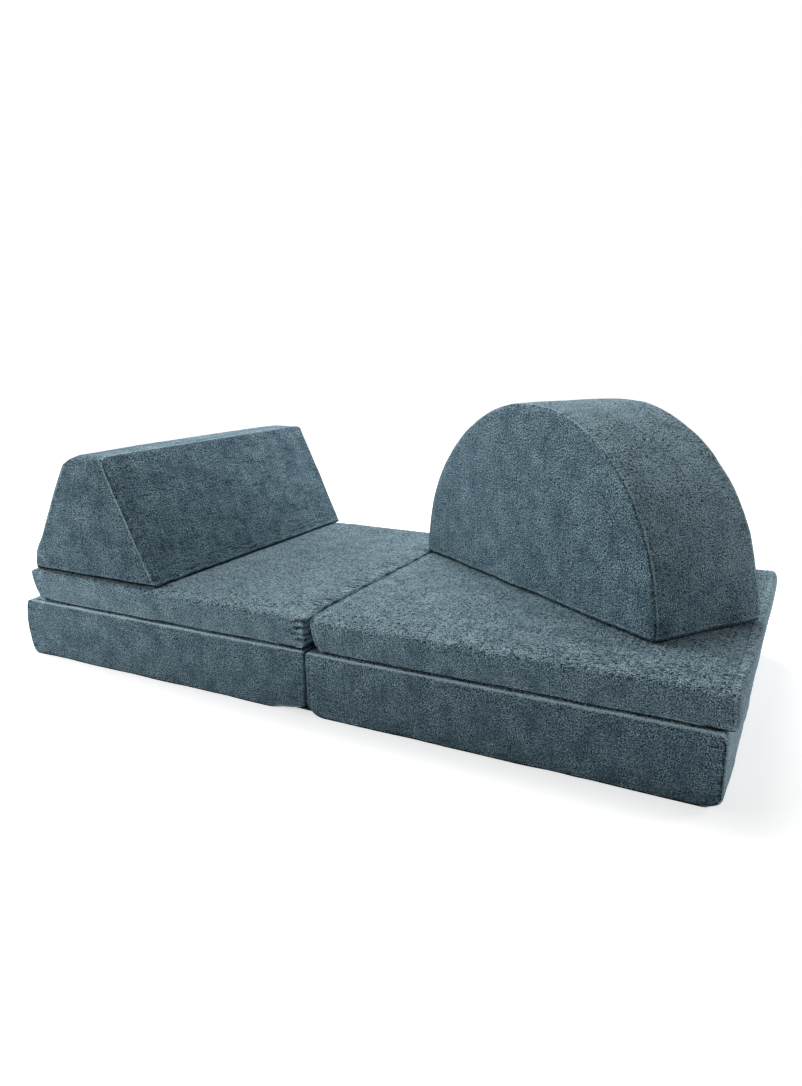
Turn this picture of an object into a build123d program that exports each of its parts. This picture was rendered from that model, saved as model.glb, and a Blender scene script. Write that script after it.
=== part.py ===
from build123d import *
import math
import os

# A modular foam play sofa: a thick folding base mattress, a thinner folding seat mattress on it,
# a bolster with sloping sides and a half-moon cushion. Each cushion half is a foam block in a
# sewn cover of separate panels, closed by a zip. Millimetres, +X to the right along the sofa,
# +Y to the back, +Z up. The origin is on the floor, under the base's fold line, mid depth.

# Cloth, clearances and cutting overrun
cloth = 2.0
foam_fit = 0.3
rest_gap = 0.3
fold_clearance = 0.3
overrun = 50.0

# The two folding mattresses
mattress_depth = 850.0
base_half_length = 855.0
base_height = 150.0
base_fold_gap = 6.0
base_crown = 2.0
base_end_slope = 8.0
base_fold_slope = 1.0
seat_end_inset = 3.0
seat_height = 75.0
seat_shift = 5.0
seat_crown = 3.0
seat_end_slope = 18.0
seat_fold_slope = 9.0

# How the mattress covers are rounded, sewn and drawn in
crest_radius = 22.0
crown_flat = 1.0
foot_sink = 0.5
foot_radius = 12.0
upright_radius = 15.0
end_crest_radius = 12.0
side_draw = 3.0
rim_height = 12.0
end_seam_inset = 9.0

# The bolster, lying across the left end of the seat
bolster_length = 829.0
bolster_height = 294.0
bolster_foot_width = 408.0
bolster_top_width = 113.0
bolster_top_offset = 160.0
bolster_end_inset = 14.0
bolster_front_inset = 20.0
bolster_left_crest_radius = 18.0
bolster_right_crest_radius = 8.0
bolster_end_radius = 9.0
slope_seam_inset = 5.0

# The half-moon cushion, standing at a slant on the right half of the seat
moon_radius = 422.0
moon_thickness = 280.0
moon_crown = 8.0
moon_face_radius = 7.0
moon_toe_radius = 18.0
moon_foot_radius = 8.0
moon_turn = -34.2
moon_from_fold = 349.6
moon_before_middle = 20.0
moon_seam_inset = 8.0

# The zips, all on the side away from the front
zip_height = 8.0
zip_slit = 1.6
mattress_zip_length = 700.0
bolster_zip_length = 300.0
moon_zip_length = 620.0
slider_length = 14.0
slider_thickness = 2.4
slider_neck_length = 8.0
slider_neck = 1.0
slider_clearance = 0.3
slider_round = 1.2

# Where each cushion lies on the one that carries it
seat_half_length = base_half_length - seat_end_inset
seat_floor = base_height + rest_gap
seat_top = seat_floor + seat_height
cushion_floor = seat_top + rest_gap
bolster_foot_left = seat_shift - seat_half_length + bolster_end_inset
bolster_front = bolster_front_inset - mattress_depth / 2
moon_face_x = seat_shift + moon_from_fold
moon_face_y = -moon_before_middle

# How far the bolster's two slopes lean from upright
bolster_right_run = bolster_foot_width - bolster_top_offset - bolster_top_width
left_lean = math.atan2(bolster_top_offset, bolster_height)
right_lean = math.atan2(bolster_right_run, bolster_height)


def prism(face, plane, length):
    """A flat outline on a plane, pushed out to a length both ways."""
    return extrude(plane * face, length / 2, both=True)


def side_outline(depth, low, high, crown, inset):
    """The mattress seen from its end: upright sides, soft crests, a crowned top and a foot cut off later."""
    half = depth / 2 - inset
    foot = low + inset - foot_sink
    top = high + crown_flat - inset
    edge = high - crown - inset
    walls = Polyline((half, edge), (half, foot), (-half, foot), (-half, edge))
    crest = ThreePointArc((-half, edge), (0, top), (half, edge))
    face = make_face(walls + crest)
    face = fillet(face.vertices().sort_by(Axis.Y)[:2], foot_radius - inset)
    return fillet(face.vertices().sort_by(Axis.Y)[-2:], crest_radius - inset)


def front_outline(fold, fold_foot, end, end_foot, low, high, fold_radius, inset):
    """The mattress half seen from the front: the ends lean in towards the foot."""
    corners = [
        (fold_foot + inset, low + inset),
        (end_foot - inset, low + inset),
        (end - inset, high - inset),
        (fold + inset, high - inset),
    ]
    radii = [foot_radius - inset, foot_radius - inset, end_crest_radius - inset, max(fold_radius - inset, 0)]
    return make_face(FilletPolyline(*corners, radius=radii, close=True))


def plan_outline(fold, end, depth, inset):
    """The mattress half from above: the front and the outer end are drawn in between the corners."""
    half = depth / 2 - inset
    near = fold - overrun
    far = end - inset
    middle = (near + far) / 2
    back = Polyline((far, half), (near, half), (near, -half))
    front = ThreePointArc((near, -half), (middle, -half + side_draw), (far, -half))
    outer = ThreePointArc((far, -half), (far - side_draw, 0), (far, half))
    face = make_face(back + front + outer)
    return fillet(face.vertices().sort_by(Axis.X)[-2:], upright_radius - inset)


def mattress_form(fold, fold_foot, end, end_foot, low, high, crown, fold_radius, inset):
    """A right mattress half as one soft block, or the space inside it at an inset."""
    span = 2 * (end + overrun)
    side = prism(side_outline(mattress_depth, low, high, crown, inset), Plane.YZ, span)
    front = prism(
        front_outline(fold, fold_foot, end, end_foot, low, high, fold_radius, inset),
        Plane.XZ,
        mattress_depth + overrun,
    )
    plan = prism(plan_outline(fold, end, mattress_depth, inset), Plane.XY, 2 * (high + overrun))
    return side & front & plan


def zip_pieces(length, height_above, wall):
    """A closed zip and its slider in the plane of a wall that faces +Y, and the slot they need."""
    middle = height_above + zip_height / 2
    slot = Pos(0, wall, middle) * Box(length, 2 * cloth, zip_height)
    tape_height = (zip_height - zip_slit) / 2
    rise = (zip_slit + tape_height) / 2
    tapes = [
        Pos(0, wall - cloth / 2, middle + side * rise) * Box(length, cloth, tape_height)
        for side in (-1, 1)
    ]
    face = wall + slider_clearance
    body = Pos(0, face + slider_thickness / 2, middle) * Box(slider_length, slider_thickness, zip_height)
    body = fillet(body.faces().sort_by(Axis.Y)[-1].edges(), slider_round)
    neck_depth = slider_clearance + cloth
    neck = Pos(0, face - neck_depth / 2, middle) * Box(slider_neck_length, neck_depth, slider_neck)
    return slot, tapes, body + neck


def panels_of(outer, inner, floor, slot, cuts, rest):
    """A cover cut into its underside, with a rim, the panels that planes part off it, and the rest."""
    skin = outer - inner
    seam = Plane.XY.offset(floor + rim_height)
    made = {"_cover_underside": split(skin, bisect_by=seam, keep=Keep.BOTTOM)}
    upper = split(skin, bisect_by=seam, keep=Keep.TOP) - slot
    for panel, plane in cuts:
        made["_cover_" + panel] = split(upper, bisect_by=plane, keep=Keep.TOP)
        upper = split(upper, bisect_by=plane, keep=Keep.BOTTOM)
    made["_cover_" + rest] = upper
    return made


def placed(name, pieces, place):
    """The pieces of a cushion under its name, each solid moved to its place."""
    return {
        name + kind: Compound([place * solid for solid in piece.solids()])
        for kind, piece in pieces.items()
    }


def mattress_half(low, height, half_length, gap, crown, end_slope, fold_slope, fold_radius, leaf):
    """All pieces of a right mattress half, with the fold line at x = 0."""
    high = low + height
    fold = gap / 2
    sizes = (fold, fold + fold_slope, half_length, half_length - end_slope, low, high, crown, fold_radius)
    outer = mattress_form(*sizes, 0)
    inner = mattress_form(*sizes, cloth)
    pieces = {"_foam": mattress_form(*sizes, cloth + foam_fit)}

    slot, tapes, slider = zip_pieces(mattress_zip_length, low + rim_height, mattress_depth / 2)
    along = Pos((fold + half_length) / 2, 0, 0)
    end_lean = math.atan2(end_slope, height)
    end_plane = Plane(
        origin=(half_length - end_seam_inset, 0, high),
        z_dir=(math.cos(end_lean), 0, -math.sin(end_lean)),
    )
    fold_lean = math.atan2(fold_slope, height)
    fold_plane = Plane(
        origin=(fold + end_seam_inset, 0, high),
        z_dir=(-math.cos(fold_lean), 0, -math.sin(fold_lean)),
    )
    cuts = [("outer_end", end_plane), ("fold_end", fold_plane)]
    pieces.update(panels_of(outer, inner, low, along * slot, cuts, "wrap"))
    if leaf:
        reach = fold + fold_slope + foot_radius
        start = fold_clearance / 2
        strip = Pos((start + reach) / 2, 0, low + cloth / 2) * Box(
            reach - start, mattress_depth - 2 * foot_radius, cloth
        )
        pieces["_cover_underside"] += strip
    pieces["_zip"] = Compound([along * tape for tape in tapes])
    start = half_length - (half_length - fold - mattress_zip_length + slider_length) / 2
    pieces["_zip_slider"] = Pos(start, 0, 0) * slider
    return pieces


def bolster_form(inset):
    """The bolster as one soft block: a trapezoid along Y with rounded corners and rounded ends."""
    foot = cushion_floor + inset
    top = cushion_floor + bolster_height - inset
    # Each corner moves in so that every side steps back by the same inset
    left_foot = inset * (1 / math.cos(left_lean) + math.tan(left_lean))
    right_foot = inset * (1 / math.cos(right_lean) + math.tan(right_lean))
    left_top = inset * (1 / math.cos(left_lean) - math.tan(left_lean))
    right_top = inset * (1 / math.cos(right_lean) - math.tan(right_lean))
    left = bolster_foot_left
    corners = [
        (left + left_foot, foot),
        (left + bolster_foot_width - right_foot, foot),
        (left + bolster_top_offset + bolster_top_width - right_top, top),
        (left + bolster_top_offset + left_top, top),
    ]
    radii = [
        foot_radius - inset,
        foot_radius - inset,
        bolster_right_crest_radius - inset,
        bolster_left_crest_radius - inset,
    ]
    outline = make_face(FilletPolyline(*corners, radius=radii, close=True))
    length = bolster_length - 2 * inset
    block = Pos(0, bolster_front + bolster_length / 2, 0) * prism(outline, Plane.XZ, length)
    ends = block.faces().sort_by(Axis.Y)
    return fillet(ends[0].edges() + ends[-1].edges(), bolster_end_radius - inset)


def bolster():
    """All pieces of the bolster, where they lie."""
    pieces = {"_foam": bolster_form(cloth + foam_fit)}
    back = bolster_front + bolster_length
    slot, tapes, slider = zip_pieces(bolster_zip_length, cushion_floor + rim_height, back)
    along = Pos(bolster_foot_left + bolster_foot_width / 2, 0, 0)
    left_seam = bolster_foot_left + slope_seam_inset / math.cos(left_lean)
    right_seam = bolster_foot_left + bolster_foot_width - slope_seam_inset / math.cos(right_lean)
    left_plane = Plane(
        origin=(left_seam, 0, cushion_floor),
        z_dir=(-math.cos(left_lean), 0, math.sin(left_lean)),
    )
    right_plane = Plane(
        origin=(right_seam, 0, cushion_floor),
        z_dir=(math.cos(right_lean), 0, math.sin(right_lean)),
    )
    cuts = [("left_slope", left_plane), ("right_slope", right_plane)]
    outer = bolster_form(0)
    inner = bolster_form(cloth)
    pieces.update(panels_of(outer, inner, cushion_floor, along * slot, cuts, "band"))
    pieces["_zip"] = Compound([along * tape for tape in tapes])
    pieces["_zip_slider"] = Pos((bolster_zip_length - slider_length) / 2, 0, 0) * along * slider
    return placed("bolster", pieces, Pos(0, 0, 0))


def moon_form(inset):
    """The half-moon as one soft block, its front face on y = 0 and its foot on z = 0."""
    radius = moon_radius - inset
    front = inset
    back = moon_thickness - inset
    reach = radius + moon_crown
    # Half of the barrel's section, turned about the line through the middle of the foot
    section = make_face(
        Polyline((0, front), (radius, front))
        + ThreePointArc((radius, front), (reach, moon_thickness / 2), (radius, back))
        + Polyline((radius, back), (0, back), (0, front))
    )
    section = fillet(section.vertices().sort_by(Axis.X)[-2:], moon_face_radius - inset)
    barrel = revolve(Plane.XY * section, Axis.Y, 360)
    width = 2 * (reach + overrun)
    sides = make_face(
        FilletPolyline(
            (-moon_radius - moon_crown + inset, inset),
            (moon_radius + moon_crown - inset, inset),
            (moon_radius + moon_crown - inset, width),
            (-moon_radius - moon_crown + inset, width),
            radius=[moon_toe_radius - inset, moon_toe_radius - inset, 0, 0],
            close=True,
        )
    )
    foot = make_face(
        FilletPolyline(
            (front, inset),
            (back, inset),
            (back, width),
            (front, width),
            radius=[moon_foot_radius - inset, moon_foot_radius - inset, 0, 0],
            close=True,
        )
    )
    depth = 2 * (moon_thickness + overrun)
    return barrel & prism(sides, Plane.XZ, depth) & prism(foot, Plane.YZ, width)


def half_moon():
    """All pieces of the half-moon cushion, turned and set on the seat."""
    pieces = {"_foam": moon_form(cloth + foam_fit)}
    slot, tapes, slider = zip_pieces(moon_zip_length, rim_height, moon_thickness)
    front_plane = Plane(origin=(0, moon_seam_inset, 0), z_dir=(0, -1, 0))
    back_plane = Plane(origin=(0, moon_thickness - moon_seam_inset, 0), z_dir=(0, 1, 0))
    cuts = [("front_face", front_plane), ("back_face", back_plane)]
    pieces.update(panels_of(moon_form(0), moon_form(cloth), 0, slot, cuts, "band"))
    pieces["_zip"] = Compound(tapes)
    pieces["_zip_slider"] = Pos((moon_zip_length - slider_length) / 2, 0, 0) * slider
    place = Pos(moon_face_x, moon_face_y, cushion_floor) * Rot(0, 0, moon_turn)
    return placed("half_moon", pieces, place)


def mattress(name, low, shift, **sizes):
    """Both halves of a folding mattress: the right one and its mirror image, moved to the fold."""
    right = mattress_half(low, **sizes)
    left = {
        kind: Compound([mirror(solid, Plane.YZ) for solid in piece.solids()])
        for kind, piece in right.items()
    }
    place = Pos(shift, 0, 0)
    return placed(name + "_right", right, place) | placed(name + "_left", left, place)


parts = {}
parts.update(
    mattress(
        "base",
        0,
        0,
        height=base_height,
        half_length=base_half_length,
        gap=base_fold_gap,
        crown=base_crown,
        end_slope=base_end_slope,
        fold_slope=base_fold_slope,
        fold_radius=end_crest_radius,
        leaf=True,
    )
)
parts.update(
    mattress(
        "seat",
        seat_floor,
        seat_shift,
        height=seat_height,
        half_length=seat_half_length,
        gap=fold_clearance,
        crown=seat_crown,
        end_slope=seat_end_slope,
        fold_slope=seat_fold_slope,
        fold_radius=0,
        leaf=False,
    )
)
parts.update(bolster())
parts.update(half_moon())

os.makedirs("parts", exist_ok=True)
for node, piece in parts.items():
    export_step(piece, "parts/" + node + ".step")
    box = piece.bounding_box()
    heights = f"z {box.min.Z:.1f} to {box.max.Z:.1f}"
    print(f"{node}: {len(piece.solids())} solids, {piece.volume:.0f} mm3, {heights}")
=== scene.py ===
# %% [markdown]
# # A modular foam play sofa
# Four loose items of upholstery foam in zipped chenille covers: a folding base mattress, a thinner
# folding seat mattress, a bolster with sloping sides and a half-moon cushion. The frame gives every
# foam block its place. This script dresses each block in its cover, with seams, puckers and pile.

# %% Load the frame
import math

import bmesh
import bpy
import numpy as np
from mathutils import Matrix, Vector
from mathutils.kdtree import KDTree


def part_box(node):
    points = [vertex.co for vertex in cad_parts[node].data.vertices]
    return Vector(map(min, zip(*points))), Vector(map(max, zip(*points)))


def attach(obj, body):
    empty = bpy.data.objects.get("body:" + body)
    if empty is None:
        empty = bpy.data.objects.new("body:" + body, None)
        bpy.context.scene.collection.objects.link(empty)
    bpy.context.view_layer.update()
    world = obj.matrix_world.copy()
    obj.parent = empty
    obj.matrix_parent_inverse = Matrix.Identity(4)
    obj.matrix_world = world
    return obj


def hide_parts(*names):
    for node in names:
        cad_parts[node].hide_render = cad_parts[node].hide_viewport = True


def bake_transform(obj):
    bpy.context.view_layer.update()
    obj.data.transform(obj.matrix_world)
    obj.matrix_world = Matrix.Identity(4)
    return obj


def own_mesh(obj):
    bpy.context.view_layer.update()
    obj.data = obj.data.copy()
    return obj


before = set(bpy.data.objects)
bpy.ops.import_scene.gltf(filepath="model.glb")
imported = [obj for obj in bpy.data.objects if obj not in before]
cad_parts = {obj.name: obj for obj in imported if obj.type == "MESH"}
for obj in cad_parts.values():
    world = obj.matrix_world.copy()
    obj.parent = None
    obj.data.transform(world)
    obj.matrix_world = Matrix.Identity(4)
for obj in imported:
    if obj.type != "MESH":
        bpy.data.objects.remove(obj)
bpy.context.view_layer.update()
mm = 0.001

# %% [markdown]
# ## The camera
# The photograph was taken with a short lens from the front right, a little above. The lens, the
# place and the tilt come from fitting straight edges of the mattresses. The picture is cropped low,
# so the optical axis is below its middle, which a small lens shift repeats.

# %% Camera
picture_height_px = 1086
focal_px = 818.1
axis_below_middle_px = 69
camera_azimuth = math.radians(26.82)
camera_elevation = math.radians(18.43)
camera_place = (927 * mm, -1799 * mm, 785 * mm)

camera_data = bpy.data.cameras.new("camera")
camera_data.sensor_width = 36
camera_data.lens = focal_px / picture_height_px * camera_data.sensor_width
camera_data.shift_y = axis_below_middle_px / picture_height_px
camera = bpy.data.objects.new("camera", camera_data)
camera.location = camera_place
camera.rotation_euler = (math.pi / 2 - camera_elevation, 0, camera_azimuth)
bpy.context.scene.collection.objects.link(camera)
bpy.context.scene.camera = camera
print("lens in mm:", round(camera_data.lens, 2))

# %% [markdown]
# ## Colours and nodes
# Colours are written as the hex values a paint chart would give. Blender's sockets want linear
# light, so one function turns them. One more adds a node with its settings and its links.


# %% Helpers for materials
def linear(hex_code):
    """An sRGB hex colour as linear red, green, blue and alpha."""
    shades = [int(hex_code[i : i + 2], 16) / 255 for i in (1, 3, 5)]
    return tuple(s / 12.92 if s <= 0.04045 else ((s + 0.055) / 1.055) ** 2.4 for s in shades) + (1,)


def add(tree, kind, settings=None, **inputs):
    """A new node: its settings, then each input as a value or as a link from a node or an output."""
    node = tree.nodes.new("ShaderNode" + kind)
    for key, value in (settings or {}).items():
        setattr(node, key, value)
    for key, value in inputs.items():
        socket = node.inputs[int(key[1:])] if key[1:].isdigit() else node.inputs[key.replace("_", " ")]
        if isinstance(value, bpy.types.Node):
            value = value.outputs[0]
        if isinstance(value, bpy.types.NodeSocket):
            tree.links.new(value, socket)
        else:
            socket.default_value = value
    return node


def new_material(name):
    """An empty material and its node tree, with only an output."""
    material = bpy.data.materials.new(name)
    material.use_nodes = True
    material.node_tree.nodes.clear()
    return material, material.node_tree


# %% [markdown]
# ## Chenille
# The covers are woven chenille: fat, soft yarns whose cut pile lies this way and that. Seen from a
# few steps, that gives a fine salt-and-pepper speckle of light and dark tufts, faint streaks along
# the warp where the pile was brushed, and broad patches that catch the light differently. Where
# people sit, the pile is crushed into fine crinkles, and along a gathered seam it puckers. The
# shading of the crinkles and puckers is also painted into the colour, and the speckle is painted
# louder on the tops. It has a sheen at grazing angles and no gloss. The pattern follows each panel
# through its UV map, which holds the unrolled cloth in metres, so the sizes below are real ones.

# %% Chenille material
# How wide and how long a cell of each pattern is, in millimetres, and how much detail it has
chenille_patterns = {
    "tuft": (2.5, 2.5, 1.0),
    "clump": (7, 11, 1.0),
    "crinkle": (13, 8, 2.0),
    "brush": (10, 90, 2.0),
    "patch": (55, 55, 3.0),
    "pucker": (60, 15, 1.0),
}
ridge_width = 0.07
ridge_height = 14.0
pile_depth = 2.0 * mm
chenille_tones = ((0.20, "#23343c"), (0.42, "#526976"), (0.58, "#74919f"), (0.80, "#a8c5d1"))


def cloth_noise(tree, place, across, along, detail):
    """Noise about zero, with cells of a given width and length in the unrolled cloth."""
    scaled = add(tree, "Mapping", Vector=place, Scale=(1 / across, 1 / along, 1))
    noise = add(tree, "TexNoise", Vector=scaled, Scale=1.0, Detail=detail, Roughness=0.55)
    return add(tree, "Math", {"operation": "SUBTRACT"}, i0=noise.outputs["Fac"], i1=0.5)


def ridges(tree, noise, amount):
    """Thin ridges along the zero lines of a noise, as strong as an amount between 0 and 1."""
    folded = add(tree, "Math", {"operation": "ABSOLUTE"}, i0=noise)
    ridge = add(tree, "Math", {"operation": "SUBTRACT"}, i0=ridge_width, i1=folded)
    return add(tree, "Math", {"operation": "MULTIPLY"}, i0=ridge, i1=amount)


def chenille():
    """The cover cloth: dusty petrol chenille with cut pile."""
    material, tree = new_material("chenille_petrol")
    place = add(tree, "UVMap", {"uv_map": "cloth"})
    tuft, clump, crinkle, brush, patch, pucker = [
        cloth_noise(tree, place, width * mm, length * mm, detail)
        for width, length, detail in chenille_patterns.values()
    ]
    # Each point stores its painted light, shade and tone, how gathered its cloth is, and how crushed its pile
    # is, with painted shading on the tops
    layers = [add(tree, "Attribute", {"attribute_name": name}) for name in ("painted_light_shade_and_tone", "gather", "crush_and_top_shading")]
    painted_light_shade_and_tone, gather, crush_and_top_shading = [layer.outputs["Fac"] for layer in layers]
    multiply_add = {"operation": "MULTIPLY_ADD"}
    crushed = ridges(tree, crinkle, crush_and_top_shading)
    puckered = ridges(tree, pucker, gather)
    # Tufts, clumps, crinkles and puckers make the height of the pile
    pile = tuft
    for pattern, amount in ((clump, 0.6), (crushed, ridge_height), (puckered, ridge_height)):
        pile = add(tree, "Math", multiply_add, i0=pattern, i1=amount, i2=pile)
    # The speckle is louder in some patches, and on the tops, where the crushed pile is real and its
    # extra contrast is painted shading of the crinkles
    louder = add(tree, "Math", multiply_add, i0=crush_and_top_shading, i1=1.5, i2=1.4)
    loud = add(tree, "Math", multiply_add, i0=patch, i1=3.5, i2=louder)
    middle_tone = add(tree, "Math", multiply_add, i0=clump, i1=0.25, i2=0.5)
    # The crinkle ridges are painted into the colour too, as light and shade
    fine = add(tree, "Math", multiply_add, i0=crushed, i1=1.1, i2=tuft)
    tone = add(tree, "Math", multiply_add, i0=fine, i1=loud, i2=middle_tone)
    # Stripes and patches shift the tone, and so do the puckers' painted shade and each point's
    # painted light and shade
    for pattern, amount in ((brush, 0.16), (patch, 0.30), (puckered, 2.4), (painted_light_shade_and_tone, 0.5)):
        tone = add(tree, "Math", multiply_add, i0=pattern, i1=amount, i2=tone)
    # The ramp's near-black low end is what the painted shade at the gaps reaches
    shades = add(tree, "ValToRGB", i0=tone)
    shades.color_ramp.elements[0].color = linear("#0b1216")
    shades.color_ramp.elements[1].color = linear("#c2dce7")
    for stop, shade in chenille_tones:
        shades.color_ramp.elements.new(stop).color = linear(shade)
    bump = add(tree, "Bump", Strength=1.0, Distance=pile_depth, Height=pile)
    shader = add(
        tree,
        "BsdfPrincipled",
        Base_Color=shades,
        Normal=bump,
        Roughness=0.95,
        Specular_IOR_Level=0.12,
        Sheen_Weight=0.12,
        Sheen_Roughness=0.45,
        Sheen_Tint=linear("#a9c6d4"),
    )
    add(tree, "OutputMaterial", Surface=shader)
    return material


cover_cloth = chenille()
print("cloth:", cover_cloth.name)

# %% [markdown]
# ## Foam, zip tape and zip metal
# Inside each cover is a block of cut polyurethane foam: pale, open-celled, quite matt. The zip tapes
# are a fine polyester twill dyed to match, the coil is polyester too, and the slider is a painted
# zinc casting with a satin coat.


# %% Other materials
def spotted(name, size, dark, light, roughness, depth):
    """A plain material with a fine noise in its colour and its height."""
    material, tree = new_material(name)
    place = add(tree, "TexCoord").outputs["Object"]
    noise = add(tree, "TexNoise", Vector=place, Scale=1 / size, Detail=3, Roughness=0.6)
    grain = noise.outputs["Fac"]
    spread = add(tree, "MapRange", i0=grain, i1=0.35, i2=0.65)
    shades = add(tree, "Mix", {"data_type": "RGBA"}, i0=spread, i6=linear(dark), i7=linear(light))
    bump = add(tree, "Bump", Strength=0.4, Distance=depth, Height=grain)
    shader = add(
        tree,
        "BsdfPrincipled",
        Base_Color=shades.outputs["Result"],
        Normal=bump,
        Roughness=roughness,
    )
    add(tree, "OutputMaterial", Surface=shader)
    return material


# Open-celled upholstery foam, cells about 1 mm across
foam_block = spotted("polyurethane_foam", 1.2 * mm, "#d8d2bd", "#efeada", 1.0, 0.6 * mm)
# Polyester zip tape, threads about 0.5 mm apart
zip_tape = spotted("polyester_zip_tape", 0.5 * mm, "#34474f", "#48606a", 0.8, 0.15 * mm)
# Moulded polyester coil, a little glossier than its tape
zip_coil = spotted("polyester_zip_coil", 0.8 * mm, "#2d3e46", "#3d525c", 0.5, 0.05 * mm)
# Zinc slider with a satin paint
zip_metal = spotted("painted_zinc_slider", 2.0 * mm, "#30424a", "#3a4e57", 0.35, 0.03 * mm)
print("other materials:", foam_block.name, zip_tape.name, zip_coil.name, zip_metal.name)

# %% [markdown]
# ## Floor and light
# The set lies on a white floor in soft studio light: large soft lamps overhead and high up on the
# left give the tops most of the light and leave the right of the front in shade. The floor adds a
# little white of its own for the camera, so that it clears to white and keeps the pale shadow.

# %% Floor, backdrop and lamps
floor_half = 12.0
near_glow = 0.655
clear_from = 1.5
clear_to = 2.6


def camera_sees(tree):
    """1 for rays from the camera, or seen in a gloss or through glass, and 0 for light on the object."""
    path = add(tree, "LightPath")
    gloss, glass = path.outputs["Is Glossy Ray"], path.outputs["Is Transmission Ray"]
    mirrored = add(tree, "Math", {"operation": "MAXIMUM"}, i0=gloss, i1=glass)
    direct = path.outputs["Is Camera Ray"]
    return add(tree, "Math", {"operation": "MAXIMUM"}, i0=direct, i1=mirrored)


def white_floor():
    """A white floor that shows white to the camera and keeps a pale shadow near the object."""
    material, tree = new_material("white_floor")
    place = add(tree, "TexCoord").outputs["Object"]
    away = add(tree, "VectorMath", {"operation": "LENGTH"}, i0=place).outputs["Value"]
    glow_by_place = add(tree, "MapRange", i0=away, i1=clear_from, i2=clear_to, i3=near_glow, i4=1.0)
    seen = camera_sees(tree)
    strength = add(tree, "Math", {"operation": "MULTIPLY"}, i0=seen, i1=glow_by_place)
    matt = add(tree, "BsdfDiffuse", Color=linear("#e4e4e4"))
    glow = add(tree, "Emission", Color=(1, 1, 1, 1), Strength=strength)
    both = add(tree, "AddShader", i0=matt, i1=glow)
    add(tree, "OutputMaterial", Surface=both)
    return material


def piece(name, bm, material):
    """An object made of a bmesh, in the scene, with its material."""
    mesh = bpy.data.meshes.new(name)
    bm.to_mesh(mesh)
    bm.free()
    return shown(name, mesh, material)


def shown(name, mesh, material):
    """An object that shows a mesh, with its material."""
    obj = bpy.data.objects.new(name, mesh)
    bpy.context.scene.collection.objects.link(obj)
    mesh.materials.append(material)
    return obj


bm = bmesh.new()
bmesh.ops.create_grid(bm, x_segments=1, y_segments=1, size=floor_half)
floor = piece("floor", bm, white_floor())

world = bpy.data.worlds.new("studio")
world.use_nodes = True
bpy.context.scene.world = world
sky = world.node_tree
sky.nodes.clear()
room_light = 0.10
room = add(sky, "Background", Color=linear("#ffffff"), Strength=room_light)
white = add(sky, "Background", Color=linear("#ffffff"), Strength=1.0)
mixed = add(sky, "MixShader", i0=camera_sees(sky), i1=room, i2=white)
add(sky, "OutputWorld", Surface=mixed)


def lamp(name, place, aim, size, power):
    """A square soft lamp at a place, turned to a point."""
    data = bpy.data.lights.new(name, "AREA")
    data.shape = "SQUARE"
    data.size = size
    data.energy = power
    made = bpy.data.objects.new(name, data)
    made.location = place
    made.rotation_mode = "QUATERNION"
    made.rotation_quaternion = (Vector(aim) - Vector(place)).to_track_quat("-Z", "Y")
    bpy.context.scene.collection.objects.link(made)


lamp("overhead", (-0.5, 0.9, 2.5), (0, 0.1, 0.2), 1.8, 57)
lamp("left_high", (-2.4, 0.0, 1.6), (0, 0, 0.2), 1.0, 46)
lamp("left_back_low", (-1.5, 1.8, 1.3), (0, 0, 0.2), 0.9, 9)
lamp("left_front", (-2.0, -1.8, 1.0), (-0.5, 0, 0.2), 1.2, 19)
lamp("right_back", (2.6, 1.4, 0.9), (0.6, 0, 0.2), 1.0, 24)
bpy.context.scene.view_settings.view_transform = "Standard"
print("lamps:", len(bpy.data.lights))

# %% [markdown]
# ## How a cushion is made
# A real cover is cut flat, sewn into a box and pulled over a block of foam. The model goes the same
# way. A cube gets loops of edges where the cloth needs them, close together at the seams. While it
# is still a flat box, the unrolled cloth is written into its UV map. Then a rounding pulls the
# corners in, and the cushion's own shape leans its ends and curves its sides.


# %% A box of cloth with loops where they are needed
edge_loops = (2, 5, 9, 14, 20, 27)
seam_loops = tuple(np.arange(2.4, 32, 2.6))
close_loops = (-8, -5, -2.6, -1.3, 0, 1.3, 2.6, 5, 8)
least_step = 1.1 * mm


def stations(low, high, step, seams=(), at_low=(), at_high=()):
    """Places of loops from low to high: about one step apart, closer at seams and near the ends.

    at_low and at_high say how far the extra loops are from that end, in millimetres."""
    places = [low, high] + [s + c * mm for s in seams for c in close_loops]
    places += [low + reach * mm for reach in at_low]
    places += [high - reach * mm for reach in at_high]
    places = sorted(p for p in places if low <= p <= high)
    kept = [low]
    for p in places:
        if p - kept[-1] > least_step:
            kept.append(p)
    kept[-1] = high
    filled = [kept[0]]
    for p in kept[1:]:
        parts = max(1, round((p - filled[-1]) / step))
        filled += [filled[-1] + (p - filled[-1]) * (i + 1) / parts for i in range(parts)]
    return filled


def cloth_box(name, along):
    """A closed box whose edge loops lie at the places in along, one list for each axis."""
    bm = bmesh.new()
    bmesh.ops.create_cube(bm, size=1)
    bmesh.ops.translate(bm, verts=bm.verts, vec=(0.5, 0.5, 0.5))
    for axis in range(3):
        edges = [e for e in bm.edges if abs((e.verts[0].co - e.verts[1].co)[axis]) > 0.5]
        cuts = len(along[axis]) - 2
        if cuts > 0:
            bmesh.ops.subdivide_edges(bm, edges=edges, cuts=cuts, use_grid_fill=True)
    mesh = bpy.data.meshes.new(name)
    bm.to_mesh(mesh)
    bm.free()
    flat = vertices(mesh)
    for axis in range(3):
        steps = np.linspace(0, 1, len(along[axis]))
        flat[:, axis] = np.interp(flat[:, axis], steps, along[axis])
    set_vertices(mesh, flat)
    return mesh, flat


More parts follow.
